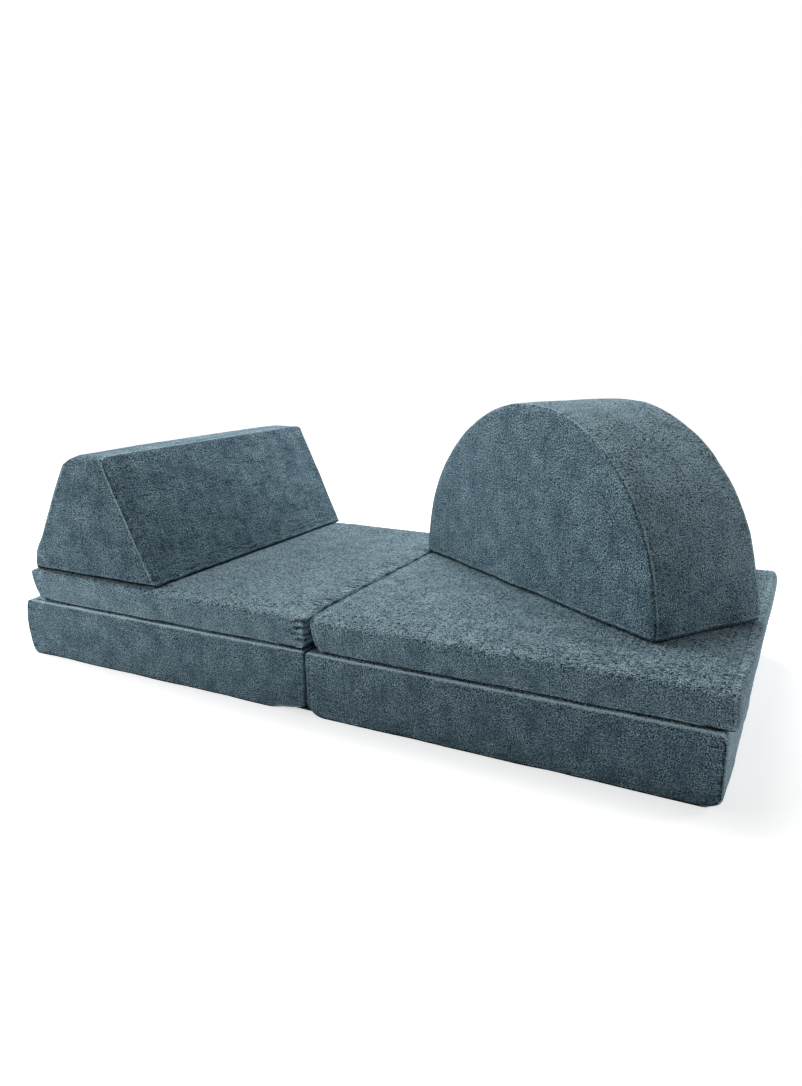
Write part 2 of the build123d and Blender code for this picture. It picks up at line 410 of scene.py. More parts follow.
def read(items, key, width, kind=np.float32):
    """One property of all of a mesh's items as an array, with a row for each if it is a vector."""
    values = np.empty(len(items) * width, kind)
    items.foreach_get(key, values)
    return values.reshape(-1, width) if width > 1 else values


def vertices(mesh):
    """The vertices of a mesh."""
    return read(mesh.vertices, "co", 3).astype(float)


def normals(mesh):
    """The vertex normals of a mesh."""
    return read(mesh.vertex_normals, "vector", 3).astype(float)


def corners(mesh):
    """For each corner of each face, the number of its vertex."""
    return read(mesh.loops, "vertex_index", 1, np.int32)


def set_vertices(mesh, places):
    """Moves the vertices of a mesh."""
    mesh.vertices.foreach_set("co", places.astype(np.float32).ravel())
    mesh.update()


# %% The unrolled cloth, written while the box is still flat
def panel_sides(mesh):
    """For each corner of each face, the side of the box that the face is on: 0 to 2 low, 3 to 5 high."""
    n = read(mesh.polygons, "normal", 3)
    axis = np.abs(n).argmax(1)
    side = axis + 3 * (n[np.arange(len(n)), axis] > 0)
    return np.repeat(side, read(mesh.polygons, "loop_total", 1, np.int32))


def unroll_strip(flat, shaped, corner, side, low, high, run=1.0):
    """Cloth coordinates of a cover whose main panel runs up the front, over the top and down the back.

    run is the true length of the end panels for each unit of height."""
    cut, p = flat[corner], shaped[corner]
    u, v = p[:, 0].copy(), p[:, 2] - high[2]
    depth = high[1] - low[1]
    top, back, under = side == 5, side == 4, side == 2
    v[top] = cut[top, 1] - low[1]
    v[back] = depth + high[2] - p[back, 2]
    v[under] = cut[under, 1] - 3 * depth
    for end, shift in ((0, 3.0), (3, 6.0)):
        here = side == end
        u[here] = cut[here, 1] + shift
        v[here] = cut[here, 2] * run
    return np.stack([u, v], 1)


def unroll_box(flat, shaped, corner, side, low, high):
    """Cloth coordinates of a mattress cover, all measured on the flat box."""
    return unroll_strip(flat, flat, corner, side, low, high)


def write_cloth(mesh, uv):
    """Stores the unrolled cloth, in metres, as the UV map that the cloth material reads."""
    layer = mesh.uv_layers.new(name="cloth")
    layer.data.foreach_set("uv", uv.astype(np.float32).ravel())


# %% [markdown]
# ## Rounding the corners
# Foam under a tight cover has no sharp corner. Two sides that meet are rounded in the plane across
# their edge: each point there is drawn towards the inner line of the rounding and set back on an
# ellipse about it. Every edge has its own two radii, matched to the outline in the photograph.


# %% Rounding and leaning
def ease(t):
    """A smooth step from 0 to 1."""
    t = np.clip(t, 0, 1)
    return t * t * (3 - 2 * t)


def along_axis(p, axis, low, high):
    """How far each point is along an axis of its box, from 0 at the low side to 1 at the high one."""
    return np.clip((p[:, axis] - low[axis]) / (high[axis] - low[axis]), 0, 1)


def round_edges(p, a, b, low, high, radii):
    """Rounds the four edges along one axis, where the sides of axes a and b meet.

    radii[i][j] is (along a, along b) in millimetres, with i and j 0 for the low side, 1 for the high."""
    out = p.copy()
    at_a, at_b = p[:, a] > (low[a] + high[a]) / 2, p[:, b] > (low[b] + high[b]) / 2
    away = []
    for axis, at, number in ((a, at_a, 0), (b, at_b, 1)):
        r = [[radii[i][j][number] * mm for j in (0, 1)] for i in (0, 1)]
        radius = np.where(at_a, np.where(at_b, r[1][1], r[1][0]), np.where(at_b, r[0][1], r[0][0]))
        below_high = np.minimum(p[:, axis], high[axis] - radius)
        inner = np.where(at, below_high, np.maximum(p[:, axis], low[axis] + radius))
        away.append((inner, radius, (p[:, axis] - inner) / radius))
    length = np.maximum(np.hypot(away[0][2], away[1][2]), 1)
    for axis, (inner, radius, share) in zip((a, b), away):
        out[:, axis] = inner + radius * share / length
    return out


def soften(flat, low, high, soft):
    """Rounds all twelve edges of a box: those along Y, then those along X, then the upright ones."""
    out = round_edges(flat, 0, 2, low, high, soft["ends"])
    out = round_edges(out, 1, 2, low, high, soft["front_back"])
    return round_edges(out, 0, 1, low, high, soft["upright"])


def lean(flat, low, high, at_low, at_high):
    """How far each point moves along X: at_low and at_high give (foot, middle, top) moves of the two ends."""
    height, across = along_axis(flat, 2, low, high), along_axis(flat, 0, low, high)

    def end(foot, middle, top):
        a = 2 * foot - 4 * middle + 2 * top
        b = -3 * foot + 4 * middle - top
        return a * height**2 + b * height + foot

    return (end(*at_low) * (1 - across) ** 3 + end(*at_high) * across**3) * mm


# %% [markdown]
# ## Swelling, unevenness, seams and creases
# The cloth is blown out a little by the foam that it holds in. A cloth simulation on a plain copy of
# the shape gives that swelling, and the finer cover follows it. Foam is never quite even either, so
# a few long waves are added. At a seam the cloth dips into a narrow furrow, and the stitches gather
# it into small puckers on both sides. Creases are drawn in where the photograph shows them. Seams,
# creases and the edges where cushions meet also get painted light and shade in the colour.

# %% Swelling by a cloth simulation
press_cap = 3 * mm
press_frames = 20
press_held = 2 * mm
follow_blur = 2 * mm
press_settings = dict(
    quality=5,
    mass=0.3,
    tension_stiffness=25,
    compression_stiffness=25,
    shear_stiffness=8,
    bending_stiffness=2,
    use_pressure=True,
    uniform_pressure_force=4,
)


def even(low, high, counts):
    """Evenly spaced loop places for each axis."""
    return [list(np.linspace(low[i], high[i], counts[i] + 1)) for i in range(3)]


def swell(name, shape, low, high, counts):
    """Simulates the cover over its foam, and returns the shape's points and how far each moved."""
    mesh, flat = cloth_box(name + "_press", even(low, high, counts))
    rest = shape(flat)
    set_vertices(mesh, rest)
    outward = normals(mesh)
    obj = bpy.data.objects.new(name + "_press", mesh)
    bpy.context.scene.collection.objects.link(obj)
    held = obj.vertex_groups.new(name="held")
    floor_points = [int(i) for i in np.nonzero(rest[:, 2] < rest[:, 2].min() + press_held)[0]]
    held.add(floor_points, 1.0, "REPLACE")
    cloth = obj.modifiers.new("press", "CLOTH")
    for key, value in press_settings.items():
        setattr(cloth.settings, key, value)
    cloth.settings.effector_weights.gravity = 0
    cloth.settings.vertex_group_mass = "held"
    cloth.collision_settings.use_collision = False
    cloth.point_cache.frame_start = 1
    cloth.point_cache.frame_end = press_frames
    for step in range(1, press_frames + 1):
        bpy.context.scene.frame_set(step)
    pressed = obj.evaluated_get(bpy.context.evaluated_depsgraph_get()).to_mesh()
    moved = vertices(pressed) - rest
    # The foam inside holds the cloth out, so a move inwards doesn't count
    inward = np.minimum((moved * outward).sum(1, keepdims=True), 0)
    moved -= outward * inward
    bpy.data.objects.remove(obj)
    bpy.data.meshes.remove(mesh)
    bpy.context.scene.frame_set(1)
    length = np.linalg.norm(moved, axis=1, keepdims=True)
    moved *= np.minimum(1, press_cap / np.maximum(length, 1e-9))
    print(name, "swells by up to", round(float(length.max()) / mm, 1), "mm, kept to", press_cap / mm)
    return rest, moved


def follow(places, rest, moved, near=5):
    """Moves each place as the nearest simulated points moved."""
    if not moved.any():
        return places
    tree = KDTree(len(rest))
    for i, point in enumerate(rest):
        tree.insert(point, i)
    tree.balance()
    out = places.copy()
    for i, place in enumerate(places):
        found = tree.find_n(place, near)
        weight = np.array([1 / (f[2] + follow_blur) for f in found])
        out[i] += (moved[[f[1] for f in found]] * weight[:, None]).sum(0) / weight.sum()
    return out


# %% Waves, seams and creases
stitch_pitch = 17 * mm
furrow_width = 1.4 * mm
lip_offset = 3.2 * mm
lip_width = 1.9 * mm
pucker_reach = 12 * mm
gather_reach = 28 * mm


def wavy(places, seed, longest, shortest, count=14):
    """A smooth uneven value between about -1 and 1 at each place, from waves in all directions."""
    rng = np.random.default_rng(seed)
    total = np.zeros(len(places))
    for _ in range(count):
        direction = rng.normal(size=3)
        direction /= np.linalg.norm(direction)
        wavelength = rng.uniform(shortest, longest)
        total += np.sin(places @ direction * 2 * math.pi / wavelength + rng.uniform(0, 2 * math.pi))
    return total / math.sqrt(count)


def gathers(s, seed, pitch):
    """A jagged, never regular wave along a seam, for the puckers between stitches."""
    rng = np.random.default_rng(seed)
    total = np.zeros(len(s))
    for share in (0.7, 1.0, 1.4, 2.3):
        swing = np.sin(s * 2 * math.pi / (pitch * share) + rng.uniform(0, 6.3))
        total += swing * rng.uniform(0.5, 1.0)
    fade = 0.5 + 0.5 * np.sin(s * 2 * math.pi / (pitch * 9) + rng.uniform(0, 6.3))
    return total / 2 * fade


# A seam's light is a painted highlight on its lip, and its dark a painted shade in its furrow
plain_seam = dict(depth=1.2, pucker=0.8, light=0.3, dark=0.5, painted_panel_light=0.0, gather=0.2)


def seam(axis, place, lip, **look):
    """A seam across an axis, and the side that its allowance is turned to. Its look has a depth and
    puckers in millimetres, how light the painted highlight on its lip and how dark the painted shade
    in its furrow are, the painted light of the panel on the far side, and how much its cloth is
    gathered."""
    return {"axis": axis, "place": place, "lip": lip, **plain_seam, **look}


def seam_height(flat, seams, seed):
    """Dips, lips and puckers at the seams, the painted light and shade there, and how gathered the cloth is.
    """
    rise, painted_light_shade_and_tone, gathered = np.zeros(len(flat)), np.zeros(len(flat)), np.zeros(len(flat))
    for number, line in enumerate(seams):
        d = flat[:, line["axis"]] - line["place"]
        others = [i for i in range(3) if i != line["axis"]]
        s = flat[:, others[0]] + flat[:, others[1]]
        furrow = np.exp(-((d / furrow_width) ** 2))
        lip = np.exp(-(((d - line["lip"] * lip_offset) / lip_width) ** 2))
        rise += (0.5 * lip - furrow) * line["depth"] * mm
        wave = gathers(s, seed + number, stitch_pitch) * np.exp(-np.abs(d) / pucker_reach)
        rise += line["pucker"] * mm * wave
        # Painted highlight on the lip, painted shade in the furrow and between the puckers, and painted light
        # on the panel on the far side, shade where that value is negative
        painted_light_shade_and_tone += line["light"] * lip - line["dark"] * furrow + 0.12 * line["pucker"] * np.minimum(wave, 0.1)
        painted_light_shade_and_tone += line["painted_panel_light"] * ease(-line["lip"] * d / (2 * mm))
        gathered += line["gather"] * np.exp(-np.abs(d) / gather_reach)
    return rise, painted_light_shade_and_tone, gathered


def contact_shade(places, normal, level, up, reach):
    """Painted shade, down to near black, on the rounded edge where a cushion meets another or the floor."""
    rolled = ease((0.97 - up * normal[:, 2]) / 0.25) * ease((up * normal[:, 2] + 0.1) / 0.2)
    return -3.5 * rolled * ease(2 - np.abs(places[:, 2] - level) / reach)


def crease_height(places, creases):
    """Drawn creases: each is (start, end, width, depth), in millimetres, as a narrow dip with a lip."""
    rise = np.zeros(len(places))
    for start, end, width, depth in creases:
        a, b = np.array(start) * mm, np.array(end) * mm
        run = b - a
        t = np.clip((places - a) @ run / (run @ run), 0, 1)
        d = np.linalg.norm(places - a - t[:, None] * run, axis=1)
        fade = np.sin(np.pi * np.clip(t * 0.9 + 0.08, 0, 1))
        rise -= depth * mm * fade * np.exp(-((d / (width * mm)) ** 2))
        rise += 0.4 * depth * mm * fade * np.exp(-(((d - 2 * width * mm) / (1.2 * width * mm)) ** 2))
    return rise


# %% One cushion, cover and foam
fine_step = 15 * mm
foam_inset = 14 * mm
foot_shade = 3 * mm
top_shade = 1.5 * mm
# How far the painted shade under the seat's front edge reaches onto the base's top, and how it fades
under_seat_shade_depth = 11 * mm
under_seat_shade_fade = 5 * mm
foam_wave = 1.1 * mm
cloth_wave = 0.35 * mm


def finished(name, mesh, material, body):
    """Turns a mesh into a finished piece: smooth, subdivided, with its material, riding on its body."""
    mesh.polygons.foreach_set("use_smooth", [True] * len(mesh.polygons))
    obj = shown(name, mesh, material)
    divide = obj.modifiers.new("divide", "SUBSURF")
    divide.levels = 1
    divide.render_levels = 1
    divide.uv_smooth = "NONE"
    final = bpy.data.meshes.new_from_object(obj.evaluated_get(bpy.context.evaluated_depsgraph_get()))
    obj.modifiers.clear()
    obj.data = final
    bpy.data.meshes.remove(mesh)
    final.name = name
    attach(obj, body)
    return obj


def as_cut(flat):
    """Seams of a box cover are measured on the flat box itself."""
    return flat


def cushion(
    body, low, high, shape, seams, limits, panels, seed, along, recess, creases=(),
    unroll=unroll_box, measure=as_cut, tone=0.0, painted_top_light=0.0, crush_and_top_shading=(0.3, 1.0),
):
    """The cover and the foam block of one cushion."""
    mesh, flat = cloth_box(body + "_cover", along)
    places = shape(flat)
    write_cloth(mesh, unroll(flat, places, corners(mesh), panel_sides(mesh), low, high))
    rest, moved = swell(body, shape, low, high, [max(2, len(a) * 2 // 3) for a in along])
    places = follow(places, rest, moved)
    set_vertices(mesh, places)
    rise, painted_light_shade_and_tone, gathered = seam_height(measure(flat), seams, seed)
    creased = crease_height(places, creases)
    rise += creased
    # Painted shade in each crease with a painted highlight on its lip, and the cover's tone, which paints the
    # whole cover lighter or darker
    painted_light_shade_and_tone += tone + creased / (4 * mm)
    # Painted light on the parts of the cover that face up
    painted_light_shade_and_tone += painted_top_light * ease((normals(mesh)[:, 2] - 0.1) / 0.5)
    foot, top = places[:, 2].min(), places[:, 2].max()
    # Painted shade along the foot, where the cushion meets the floor or the cushion under it
    painted_light_shade_and_tone += contact_shade(places, normals(mesh), foot, -1, foot_shade)
    if body.startswith("base"):
        # Painted shade along the base's top edge, where the seat rests on it
        painted_light_shade_and_tone += contact_shade(places, normals(mesh), top, 1, top_shade)
        # Painted shade on the strip of the base's top under the seat's front edge
        near_front = ease((low[1] + under_seat_shade_depth - flat[:, 1]) / under_seat_shade_fade)
        painted_light_shade_and_tone -= 1.5 * near_front * ease((places[:, 2] - top) / mm + 2)
    # Crush is strongest where the cover faces up: real crushed pile there, and its louder speckle is painted
    # shading
    crushed = crush_and_top_shading[0] + (crush_and_top_shading[1] - crush_and_top_shading[0]) * ease((normals(mesh)[:, 2] - 0.4) / 0.5)
    for layer_name, value in (("painted_light_shade_and_tone", painted_light_shade_and_tone), ("gather", gathered), ("crush_and_top_shading", crushed)):
        layer = mesh.attributes.new(layer_name, "FLOAT", "POINT")
        layer.data.foreach_set("value", np.clip(value, -2, 1.4).astype(np.float32))
    rise += foam_wave * wavy(places, seed, 260 * mm, 110 * mm)
    rise += cloth_wave * wavy(places, seed + 7, 60 * mm, 35 * mm)
    places = places + normals(mesh) * rise[:, None]
    places = limits(recess(flat, places))
    set_vertices(mesh, places)
    cover = finished(body + "_cover", mesh, cover_cloth, body)
    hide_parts(*[body + "_cover_" + panel for panel in panels])

    foam_mesh, foam_flat = cloth_box(body + "_foam_block", even(low, high, [len(a) // 3 for a in along]))
    set_vertices(foam_mesh, shape(foam_flat))
    set_vertices(foam_mesh, vertices(foam_mesh) - normals(foam_mesh) * foam_inset)
    foam = finished(body + "_foam_block", foam_mesh, foam_block, body)
    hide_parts(body + "_foam")
    print(body, "cover has", len(cover.data.polygons), "faces")


# %% [markdown]
# ## The mattresses
# Each mattress is two foam blocks side by side. The wide panel of its cover runs up the front, over
# the top and down the back. The end panels are sewn in along the corners and belly outwards, because
# nothing but a seam holds them at the edge. The cloth draws the foot of each end in a little.

# %% Heights and depths from the frame
front_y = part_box("base_right_cover_underside")[0].y
back_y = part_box("base_right_cover_underside")[1].y
base_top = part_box("base_right_cover_wrap")[1].z
seat_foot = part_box("seat_right_cover_underside")[0].z
seat_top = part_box("seat_right_cover_wrap")[1].z
cushion_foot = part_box("half_moon_cover_underside")[0].z
print("base top, seat foot, seat top in mm:", [round(z / mm, 1) for z in (base_top, seat_foot, seat_top)])

# %% The shape of a mattress half
fold_seam = 9 * mm
bolster_side = -450 * mm
bolster_clear = 60 * mm
fold_corner = 95 * mm
end_panel_from = 400 * mm


def outwards(sign, fold, end):
    """What a half has at its fold and at its end, in the order of the X axis."""
    return (fold, end) if sign > 0 else (end, fold)


def mattress_shape(low, high, sign, soft, leans, bulge, belly, crown, tuck=0, lift=0, dip=0, foot_out=0):
    """A mattress half: rounded, its ends leaning, its outer end bellied, its top crowned."""

    def shape(flat):
        out = soften(flat, low, high, soft)
        height = along_axis(flat, 2, low, high)
        across = 2 * along_axis(flat, 0, low, high) - 1
        deep = 2 * along_axis(flat, 1, low, high) - 1
        out[:, 0] += lean(flat, low, high, *leans)
        outer = np.clip(sign * across, 0, 1) ** 6
        held = np.where(deep < 0, np.abs(deep) ** 6, np.abs(deep) ** 24)
        out[:, 0] += sign * (bulge[0] + (bulge[1] - bulge[0]) * height) * mm * outer * (1 - held)
        out[:, 1] += deep**5 * (belly * 4 * height * (1 - height)) * mm
        out[:, 2] -= crown * mm * height * (0.6 * deep**4 + 0.4 * across**4)
        # The foot of the front stands out
        out[:, 1] -= foot_out * mm * np.clip(-deep, 0, 1) ** 9 * (1 - height)
        # The top falls off a little towards the front edge, but not where the bolster lies
        free = ease((out[:, 0] - bolster_side) / bolster_clear)
        out[:, 2] -= dip * mm * height * free * ease((-0.74 - deep) / 0.26)
        # The foot of the front corner at the fold curls up a little, or draws back from the fold
        near_fold = np.clip(1 - np.abs(out[:, 0]) / fold_corner, 0, 1)
        near_front = ease((-0.6 - deep) / 0.3)
        at_corner = ease((-0.88 - deep) / 0.1)
        out[:, 0] += sign * tuck * mm * near_fold * at_corner * (1 - height)
        out[:, 2] += lift * mm * near_fold * near_front * (1 - height) ** 2
        return out

    return shape


def panel_outline(low, high, sign, radius):
    """Seams of a mattress are measured so that the end panel's outline has rounded corners."""

    def measure(flat):
        out = flat.copy()
        for edge, up in ((low[2], 1), (high[2], -1)):
            t = np.clip(1 - up * (flat[:, 2] - edge) / radius, 0, 0.92)
            out[:, 0] += sign * radius * (1 - np.sqrt(1 - t * t)) * (sign * flat[:, 0] > end_panel_from)
        return out

    return measure


# %% Room for the zips, and what a cushion rests on
# The bolster's back end stands out behind its CAD form, and its zip moves back with it
zip_moves_back = {"bolster": 10 * mm}
pocket_depth = 1 * mm
pocket_side = 1 * mm
pocket_rise = 0.5 * mm
pocket_reach = 30 * mm


def zip_pocket(body):
    """Sinks the cloth behind a zip on the back wall, so that the tapes lie in it."""
    zip_a, zip_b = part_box(body + "_zip")
    floor = zip_a.y - pocket_depth + zip_moves_back.get(body, 0)

    def recess(flat, places):
        x, y, z = places.T
        beside = (x > zip_a.x - pocket_side) & (x < zip_b.x + pocket_side)
        level = (z > zip_a.z - pocket_rise) & (z < zip_b.z + pocket_rise)
        inside = beside & level & (y > zip_a.y - pocket_reach)
        out = places.copy()
        out[inside, 1] = np.minimum(out[inside, 1], floor)
        return out

    return recess


def flat_on(low_z, high_z, covered=None, cover_z=0):
    """Keeps a cushion above what it rests on, and flat where another one rests on it."""

    def limits(places):
        out = places.copy()
        out[:, 2] = np.clip(out[:, 2], low_z, high_z)
        if covered:
            here = covered(out)
            out[here, 2] = np.minimum(out[here, 2], cover_z)
        return out

    return limits


# %% One half of a mattress
def mattress_half(
    body, seed, edges, radii, fold_front, leans, y, z, front_back, upright, end_seam, end_look,
    fold_look, lines, rises, limits, panel_radius, creases=(), tone=0.0, **form,
):
    """One half of a mattress. edges, radii and leans each give its fold side and then its outer end."""
    sign = 1 if edges[1] > edges[0] else -1
    ends = sorted(edges)
    low, high = (ends[0], y[0], z[0]), (ends[1], y[1], z[1])
    soft = {
        "ends": outwards(sign, *radii),
        "front_back": front_back,
        "upright": outwards(sign, (fold_front, upright), (upright, upright)),
    }
    shape = mattress_shape(low, high, sign, soft, outwards(sign, *leans), **form)
    end_line = edges[1] - sign * end_seam
    fold_line = edges[0] + sign * fold_seam
    seams = [seam(0, end_line, -sign, **end_look), seam(0, fold_line, sign, **fold_look)] + lines
    along = [
        stations(low[0], high[0], fine_step, [end_line, fold_line], *outwards(sign, (), seam_loops)),
        stations(low[1], high[1], fine_step, (), edge_loops, edge_loops),
        stations(low[2], high[2], *rises),
    ]
    cushion(
        body, low, high, shape, seams, limits, ("wrap", "outer_end", "fold_end", "underside"),
        seed, along, zip_pocket(body), creases,
        measure=panel_outline(low, high, sign, panel_radius),
        tone=tone,
    )


# %% Base mattress
base_rim = 5 * mm
base = dict(
    y=(front_y - 2 * mm, back_y),
    z=(0.0, base_top),
    front_back=(((2, 1.2), (3, 3)), ((9, 4), (9, 6))),
    fold_front=(4, 4),
    upright=(4, 4),
    end_seam=4 * mm,
    # The base's end panels are painted lighter than its front
    end_look=dict(depth=1.6, light=0.0, dark=0.5, painted_panel_light=0.6),
    fold_look=dict(depth=0.2, light=0.1, dark=0.1),
    lines=[
        # The foot seam's lip is painted lighter, and a painted highlight line runs just under the top front
        # edge
        seam(2, base_rim + 1 * mm, -1, depth=0.6, light=0.6, dark=0.1),
        seam(2, base_top - 6 * mm, 1, depth=0.0, pucker=0.0, light=2.4, dark=0.0),
    ],
    rises=(fine_step, [base_rim], seam_loops, seam_loops),
    limits=flat_on(0.0, base_top),
    panel_radius=26 * mm,
    belly=1.5,
    crown=2,
    foot_out=4,
)
# The radii of an edge say how far its rounding reaches along one side and along the other
mattress_half(
    "base_right",
    seed=11,
    edges=(1 * mm, 862 * mm),
    radii=(((44, 44), (16, 11)), ((44, 20), (10, 14))),
    leans=((1, 1, 0), (2, 3, 0)),
    bulge=(2, 5),
    **base,
)
mattress_half(
    "base_left",
    seed=23,
    edges=(-1 * mm, -855 * mm),
    radii=(((16, 14), (6, 6)), ((14, 16), (23, 18))),
    leans=((-1, -1, 0), (8, -8, -3)),
    bulge=(13, 9),
    lift=14,
    **base,
)

# %% [markdown]
# ## Where the half-moon stands
# The half-moon stands at a slant on the right half of the seat. The seat's top is flat under it, so
# its place is needed before the seat is made. It is drawn in a frame of its own, with its face
# along X and its thickness along Y, and then turned and moved.

# %% The half-moon's place, and what lies under the two cushions
moon_radius = 426 * mm
moon_thickness = 295 * mm
moon_turn = math.radians(-34.2)
moon_place = np.array([342 * mm, -21 * mm, cushion_foot])
moon_axes = np.array(Matrix.Rotation(moon_turn, 3, "Z"))
under_margin = 5 * mm
top_from = seat_foot + 40 * mm


def from_moon(local):
    """Points of the half-moon's own frame as points of the whole."""
    return local @ moon_axes.T + moon_place


def to_moon(places):
    """Points of the whole in the half-moon's own frame."""
    return (places - moon_place) @ moon_axes


def under_bolster(places):
    """Points of the seat's top that the bolster covers."""
    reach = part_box("bolster_cover_underside")[1].x + under_margin
    return (places[:, 0] < reach) & (places[:, 2] > top_from)


def under_moon(places):
    """Points of the seat's top that the half-moon covers."""
    local = to_moon(places)
    beside = np.abs(local[:, 0]) < moon_radius + under_margin
    behind = (local[:, 1] > -under_margin) & (local[:, 1] < moon_thickness + under_margin)
    return beside & behind & (places[:, 2] > top_from)


print("half-moon turned by", round(math.degrees(moon_turn), 1), "degrees")

# %% Seat mattress
seat_fold_x = 5 * mm
seat_crest = seat_top + 1.5 * mm
seat = dict(
    y=(front_y, back_y + 3 * mm),
    z=(seat_foot, seat_crest),
    front_back=(((5, 3.5), (14, 8)), ((9, 5), (13, 11))),
    upright=(5, 5),
    end_seam=8 * mm,
    # The seat's end panels are painted lighter, and a painted highlight line runs just above its foot
    end_look=dict(depth=1.0, light=0.1, dark=0.25, painted_panel_light=0.3),
    lines=[seam(2, seat_foot + 1 * mm, 1, depth=0.2, pucker=0.0, light=0.5, dark=0.0)],
    rises=(5 * mm, (), edge_loops, seam_loops),
    panel_radius=20 * mm,
    belly=2,
    crown=1,
    dip=6,
)
# The right half's edge at the fold is tight, with a painted highlight along it, and its whole
# cover is painted a little lighter
mattress_half(
    "seat_right",
    seed=37,
    edges=(seat_fold_x + 6 * mm, 869 * mm),
    radii=(((26, 30), (4, 4)), ((10, 14), (10, 15))),
    fold_front=(5, 9),
    leans=((7, 2, 0), (5, 4, 1)),
    fold_look=dict(depth=0.1, pucker=0.6, light=0.3, dark=0.0),
    limits=flat_on(seat_foot, seat_crest, under_moon, seat_top),
    tone=0.11,
    bulge=(3, 11),
    tuck=14,
    **seat,
)
# The left half's edge is gathered into puckers, with three creases at its front corner, and its
# whole cover is painted a little lighter
mattress_half(
    "seat_left",
    seed=41,
    edges=(seat_fold_x - 2 * mm, -833 * mm),
    radii=(((16, 18), (12, 7)), ((7, 9), (7, 9))),
    fold_front=(6, 10),
    leans=((-2, 0, 0), (26, 12, 2)),
    fold_look=dict(depth=0.1, pucker=0.6, light=0.0, dark=0.0, gather=1.4),
    limits=flat_on(seat_foot, seat_crest, under_bolster, seat_top),
    creases=[
        ((4, -421, 216), (-40, -425, 207), 4.0, 3.5),
        ((4, -425, 203), (-26, -427, 196), 3.5, 2.5),
        ((4, -426, 191), (-20, -427, 185), 3.5, 2.0),
    ],
    tone=0.15,
    bulge=(10, 13),
    **seat,
)

# %% [markdown]
# ## The bolster
# A foam block with a broad foot, a narrow top and two slopes. The cover's band runs up the front
# end, over the top and down the back end in one strip, so there is no seam between the front end and
# the top. The slopes are sewn to it along their edges.

# %% Bolster
bolster_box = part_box("bolster_cover_band")
bolster_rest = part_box("bolster_cover_underside")
bolster_left = -833 * mm
bolster_width = 408 * mm
bolster_offset = 160 * mm
bolster_top_width = 113 * mm
bolster_low = (bolster_left, bolster_rest[0].y, cushion_foot)
bolster_high = (bolster_left + bolster_width, bolster_rest[1].y, bolster_box[1].z + 3 * mm)
# Along X these are radii at the foot: the cushion is narrower higher up, and they shrink with it
bolster_soft = {
    "ends": (((12, 8), (120, 36)), ((7, 6), (18, 5))),
    "front_back": (((14, 5), (20, 20)), ((8, 5), (10, 10))),
    "upright": (((14, 12), (14, 12)), ((5, 4), (6, 6))),
}
bolster_bow = 16 * mm
bolster_crown = 6 * mm
slope_line = 14 * mm
foot_line = 6 * mm
print("bolster height in mm:", round((bolster_high[2] - bolster_low[2]) / mm, 1))


def bolster_shape(flat):
    """The bolster: a rounded box whose two sides lean in to the narrow top."""
    out = soften(flat, bolster_low, bolster_high, bolster_soft)
    height = along_axis(out, 2, bolster_low, bolster_high)
    left = bolster_left + bolster_offset * height
    width = bolster_width + (bolster_top_width - bolster_width) * height
    out[:, 0] = left + (out[:, 0] - bolster_left) / bolster_width * width
    across = 2 * np.clip((flat[:, 0] - bolster_left) / bolster_width, 0, 1) - 1
    deep = 2 * along_axis(flat, 1, bolster_low, bolster_high) - 1
    swollen = 4 * height * (1 - height) * mm
    out[:, 0] += np.clip(across, 0, 1) ** 5 * 4 * swollen * (1 - deep**4)
    out[:, 1] += deep**5 * 4 * swollen * (1 - across**4)
    # The back end stands out, less so towards the top
    out[:, 1] += np.clip(deep, 0, 1) ** 3 * (14 - 11 * height**2) * mm
    # The left slope bows out, most of all just above its foot
    bow = bolster_bow * (1 - np.exp(-height / 0.06)) * (1 - height**6)
    bow += 0.4 * bolster_bow * np.exp(-(((height - 0.17) / 0.09) ** 2))
    out[:, 0] -= np.clip(-across, 0, 1) ** 3 * bow
    out[:, 2] += bolster_crown * height**8 * (1 - deep**2)
    return out


def unroll_bolster(flat, shaped, corner, side, low, high):
    """Cloth coordinates of the bolster: true widths on the ends and the top, true run on the slopes."""
    run = math.hypot(high[2] - low[2], bolster_offset) / (high[2] - low[2])
    return unroll_strip(flat, shaped, corner, side, low, high, run)


def bolster_measure(flat):
    """Seams of the bolster are measured by true distance from its slopes, at any height."""
    height = along_axis(flat, 2, bolster_low, bolster_high)
    narrow = 1 + (bolster_top_width / bolster_width - 1) * height
    centre = (bolster_low[0] + bolster_high[0]) / 2
    half = bolster_width / 2
    out = flat.copy()
    from_side = (half - np.abs(flat[:, 0] - centre)) * narrow
    out[:, 0] = centre + np.sign(flat[:, 0] - centre) * (half - from_side)
    return out


slope_seam = 4 * mm
# The bolster's seams get painted highlights on their lips and painted shade in their furrows
bolster_seams = [
    seam(0, bolster_low[0] + slope_seam, 1, light=0.5, dark=0.4),
    seam(0, bolster_high[0] - slope_seam, -1, light=0.7, dark=0.4),
    seam(2, bolster_low[2] + foot_line, 1, light=0.4, dark=0.5),
]
bolster_lines = (
    [bolster_low[0] + slope_line, bolster_high[0] - slope_line],
    (),
    [bolster_low[2] + foot_line],
)
bolster_along = [
    stations(bolster_low[i], bolster_high[i], fine_step, bolster_lines[i], edge_loops, edge_loops)
    for i in range(3)
]
# The bolster's whole cover is painted a little darker
cushion(
    "bolster", bolster_low, bolster_high, bolster_shape, bolster_seams,
    flat_on(cushion_foot, bolster_high[2] + 2 * mm),
    ("band", "left_slope", "right_slope", "underside"),
    53,
    bolster_along,
    zip_pocket("bolster"),
    [((-560, -404, 512), (-575, -380, 519), 3.0, 2.5)],
    unroll=unroll_bolster,
    measure=bolster_measure,
    crush_and_top_shading=(0.35, 0.6),
    tone=-0.08,
)

